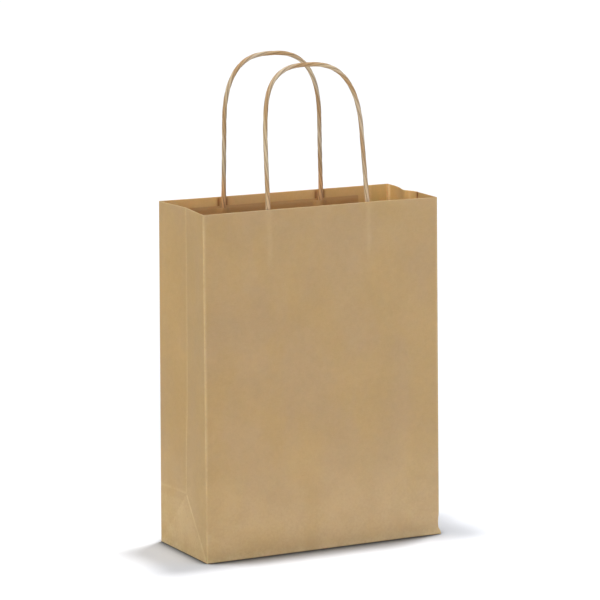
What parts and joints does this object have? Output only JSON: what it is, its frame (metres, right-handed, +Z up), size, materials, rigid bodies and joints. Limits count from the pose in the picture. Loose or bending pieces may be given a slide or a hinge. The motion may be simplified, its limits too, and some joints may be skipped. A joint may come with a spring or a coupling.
{
  "type": "gift bag",
  "caption": "Upright paper gift bag with a block bottom, tucked side gussets and a looped twisted cord handle on each long panel.",
  "frame": {"origin": "middle of the bag's footprint, on the surface it stands on", "axes": "+Z up through the mouth, -Y out of the front panel, +X to the right seen from the front"},
  "size_m": [0.24, 0.098, 0.4526],
  "materials": {
    "kraft": "matte brown kraft paper",
    "patch": "matte darker brown kraft paper",
    "cord": "twisted brown paper cord"
  },
  "bodies": {
    "bag": {"front_panel": "kraft", "back_panel": "kraft", "left_gusset_front_half": "kraft", "left_gusset_back_half": "kraft", "left_gusset_back_corner": "kraft", "left_gusset_foot": "kraft", "right_gusset_front_half": "kraft", "right_gusset_back_half": "kraft", "right_gusset_back_corner": "kraft", "right_gusset_foot": "kraft", "glue_lap": "kraft", "bottom_back_flap": "kraft", "bottom_front_flap": "kraft", "bottom_left_end_flap": "kraft", "bottom_right_end_flap": "kraft", "front_handle_base_patch": "patch", "front_handle_cover_patch": "patch", "back_handle_base_patch": "patch", "back_handle_cover_patch": "patch", "front_cord_left_foot": "cord", "front_cord_right_foot": "cord", "back_cord_left_foot": "cord", "back_cord_right_foot": "cord"},
    "front_handle": {"front_handle_loop": "cord"},
    "back_handle": {"back_handle_loop": "cord"}
  },
  "joints": [
    {"name": "front_handle_swing", "type": "hinge", "parent": "bag", "child": "front_handle", "pos_m": [-0.0032, -0.049, 0.32], "axis": [1, 0, 0], "range_deg": [-11, 178]},
    {"name": "back_handle_swing", "type": "hinge", "parent": "bag", "child": "back_handle", "pos_m": [-0.0032, 0.049, 0.32], "axis": [-1, 0, 0], "range_deg": [-19, 170]}
  ]
}
